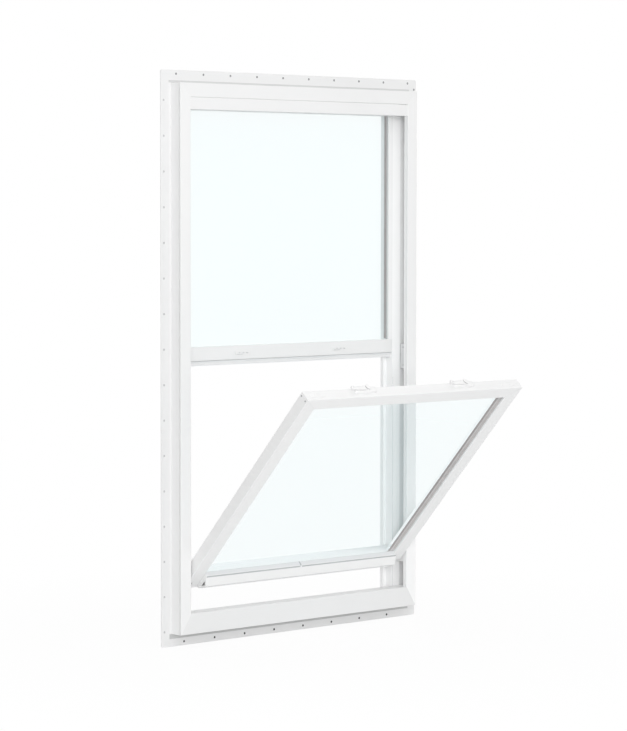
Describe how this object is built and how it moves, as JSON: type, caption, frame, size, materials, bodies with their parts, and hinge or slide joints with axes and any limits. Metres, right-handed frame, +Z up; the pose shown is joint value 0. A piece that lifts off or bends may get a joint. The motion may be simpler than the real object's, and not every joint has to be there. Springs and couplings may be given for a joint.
{
  "type": "single hung window",
  "caption": "Single hung window in a white vinyl frame with a nail fin, a fixed upper lite and a lower sash that slides up and tilts into the room.",
  "frame": {"origin": "middle of the sill's nail fin, on its room-side face, which bears on the wall", "axes": "+X right as seen from the room, +Y outdoors, +Z up"},
  "size_m": [0.9686, 0.5499, 1.575],
  "materials": {
    "white_vinyl": "satin white vinyl",
    "white_hardware": "white hardware",
    "hardware_grey": "moulded grey",
    "spacer_grey": "dark spacer",
    "steel": "zinc plated",
    "glass": "clear float glass"
  },
  "bodies": {
    "frame": {"head": "white_vinyl", "head_fin": "white_vinyl", "head_stop": "white_vinyl", "left_balance": "hardware_grey", "left_fin": "white_vinyl", "left_jamb": "white_vinyl", "left_keeper": "white_hardware", "meeting_rail": "white_vinyl", "right_balance": "hardware_grey", "right_fin": "white_vinyl", "right_jamb": "white_vinyl", "right_keeper": "white_hardware", "sill": "white_vinyl", "sill_fin": "white_vinyl", "upper_head_bead": "white_vinyl", "upper_inner_pane": "glass", "upper_left_bead": "white_vinyl", "upper_outer_pane": "glass", "upper_right_bead": "white_vinyl", "upper_spacer": "spacer_grey"},
    "shoes": {"left_shoe": "hardware_grey", "right_shoe": "hardware_grey"},
    "sash": {"left_lock_base": "white_hardware", "left_pivot_bar": "steel", "left_tilt_latch": "white_hardware", "right_lock_base": "white_hardware", "right_pivot_bar": "steel", "right_tilt_latch": "white_hardware", "sash_bottom_rail": "white_vinyl", "sash_inner_pane": "glass", "sash_left_stile": "white_vinyl", "sash_outer_pane": "glass", "sash_right_stile": "white_vinyl", "sash_spacer": "spacer_grey", "sash_top_rail": "white_vinyl"},
    "left_lever": {"left_lock_lever": "white_hardware"},
    "right_lever": {"right_lock_lever": "white_hardware"}
  },
  "joints": [
    {"name": "sash_slide", "type": "slide", "parent": "frame", "child": "shoes", "axis": [0, 0, 1], "range_m": [-0.0577, 0.5]},
    {"name": "sash_tilt", "type": "hinge", "parent": "shoes", "child": "sash", "pos_m": [0, -0.0194, 0.1782], "axis": [1, 0, 0], "range_deg": [-42.74, 47.26]},
    {"name": "left_lock_turn", "type": "hinge", "parent": "sash", "child": "left_lever", "pos_m": [-0.186, -0.49712, 0.70402], "axis": [0, 0.6787, -0.7344], "range_deg": [-170, 0]},
    {"name": "right_lock_turn", "type": "hinge", "parent": "sash", "child": "right_lever", "pos_m": [0.186, -0.49712, 0.70402], "axis": [0, 0.6787, -0.7344], "range_deg": [-170, 0]}
  ]
}
